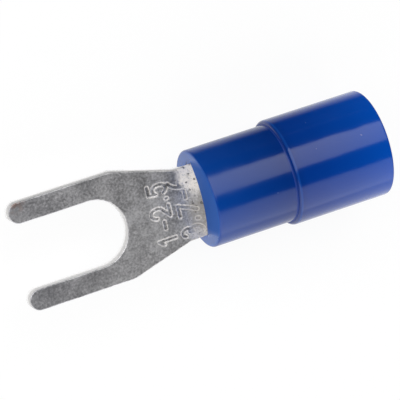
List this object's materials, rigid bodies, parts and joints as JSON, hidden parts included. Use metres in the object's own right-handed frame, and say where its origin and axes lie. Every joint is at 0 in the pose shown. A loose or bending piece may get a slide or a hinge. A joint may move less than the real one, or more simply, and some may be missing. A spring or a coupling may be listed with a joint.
{
  "type": "fork terminal",
  "caption": "Insulated fork terminal: a flat slotted fork of plated copper rolled into a crimp barrel, under a stepped blue plastic sleeve.",
  "frame": {"origin": "on the stud axis, at the centre of the slot's round end, on the underside of the tongue", "axes": "+X back along the barrel to the wire entry, +Z along the stud axis out of the marked face of the tongue"},
  "size_m": [0.021, 0.006, 0.0059],
  "materials": {
    "plated_copper": "satin tin plate, stamped",
    "blue_sleeve": "glossy moulded vinyl"
  },
  "bodies": {
    "root": {"terminal": "plated_copper", "sleeve": "blue_sleeve"}
  },
  "joints": []
}
